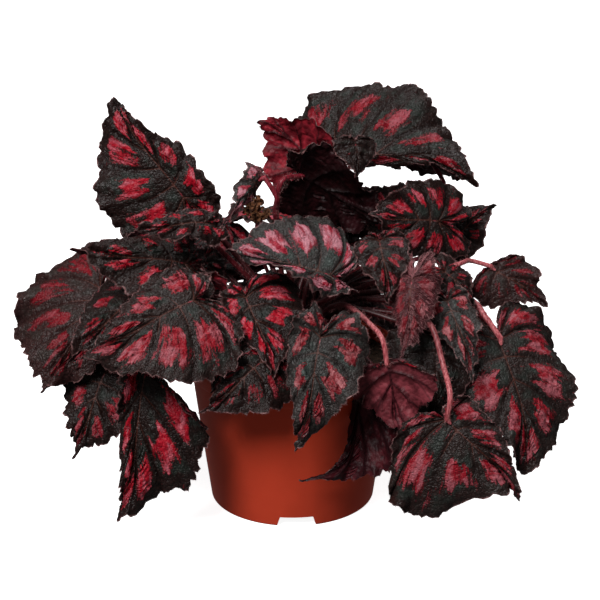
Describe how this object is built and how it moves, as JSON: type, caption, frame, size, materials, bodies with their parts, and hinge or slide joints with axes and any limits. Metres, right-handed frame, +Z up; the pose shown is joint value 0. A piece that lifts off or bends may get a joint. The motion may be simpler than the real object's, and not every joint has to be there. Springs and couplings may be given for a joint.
{
  "type": "potted begonia",
  "caption": "Bushy rex begonia with lopsided, ruffled, dark and red marbled leaves on hairy red stalks, in a thin tapered plastic nursery pot.",
  "frame": {"origin": "middle of the pot's base, on the surface that the pot stands on", "axes": "+Z up; the plant is looked at along +Y, so -Y is its front and +X is to the right"},
  "size_m": [0.3695, 0.2584, 0.2712],
  "materials": {
    "pot": "satin moulded plastic",
    "soil": "rough crumbly potting mix",
    "stalk": "satin plant stem with fine hairs",
    "bud": "dry and papery",
    "blade": "satin leaf with puckers between its veins"
  },
  "bodies": {
    "root": {"pot": "pot", "soil": "soil", "crown": "stalk", "dried_buds": "bud", "leaf_top_left": "blade", "leaf_top_left_young": "blade", "leaf_streaked_folded": "blade", "leaf_top_rolled": "blade", "leaf_top_rolled_lobe": "blade", "leaf_top_hanging": "blade", "leaf_top_arched": "blade", "leaf_top_behind": "blade", "leaf_right_high": "blade", "leaf_right_high_back": "blade", "leaf_back_top": "blade", "leaf_right_high_behind": "blade", "leaf_right_spotted": "blade", "leaf_right_young": "blade", "leaf_right_dark": "blade", "leaf_right_striped": "blade", "leaf_right_inner": "blade", "leaf_far_right_small": "blade", "leaf_right_large": "blade", "leaf_right_low": "blade", "leaf_right_underside": "blade", "leaf_front_hanging_back": "blade", "leaf_front_centre": "blade", "leaf_centre_shiny": "blade", "leaf_centre_left": "blade", "leaf_front_low_left": "blade", "leaf_left_large": "blade", "leaf_inner_left": "blade", "leaf_inner_right": "blade", "leaf_left_hanging": "blade", "leaf_left_low": "blade", "leaf_left_middle": "blade", "leaf_far_left": "blade", "leaf_left_upper": "blade", "leaf_left_inner": "blade", "leaf_left_deep": "blade", "leaf_back_left_high": "blade", "leaf_back_centre_high": "blade", "leaf_back_right_high": "blade", "leaf_back_left": "blade", "leaf_back_left_middle": "blade", "leaf_back_right_middle": "blade", "leaf_back_centre": "blade", "leaf_back_right": "blade", "leaf_back_left_low": "blade", "leaf_back_right_low": "blade"}
  },
  "joints": []
}
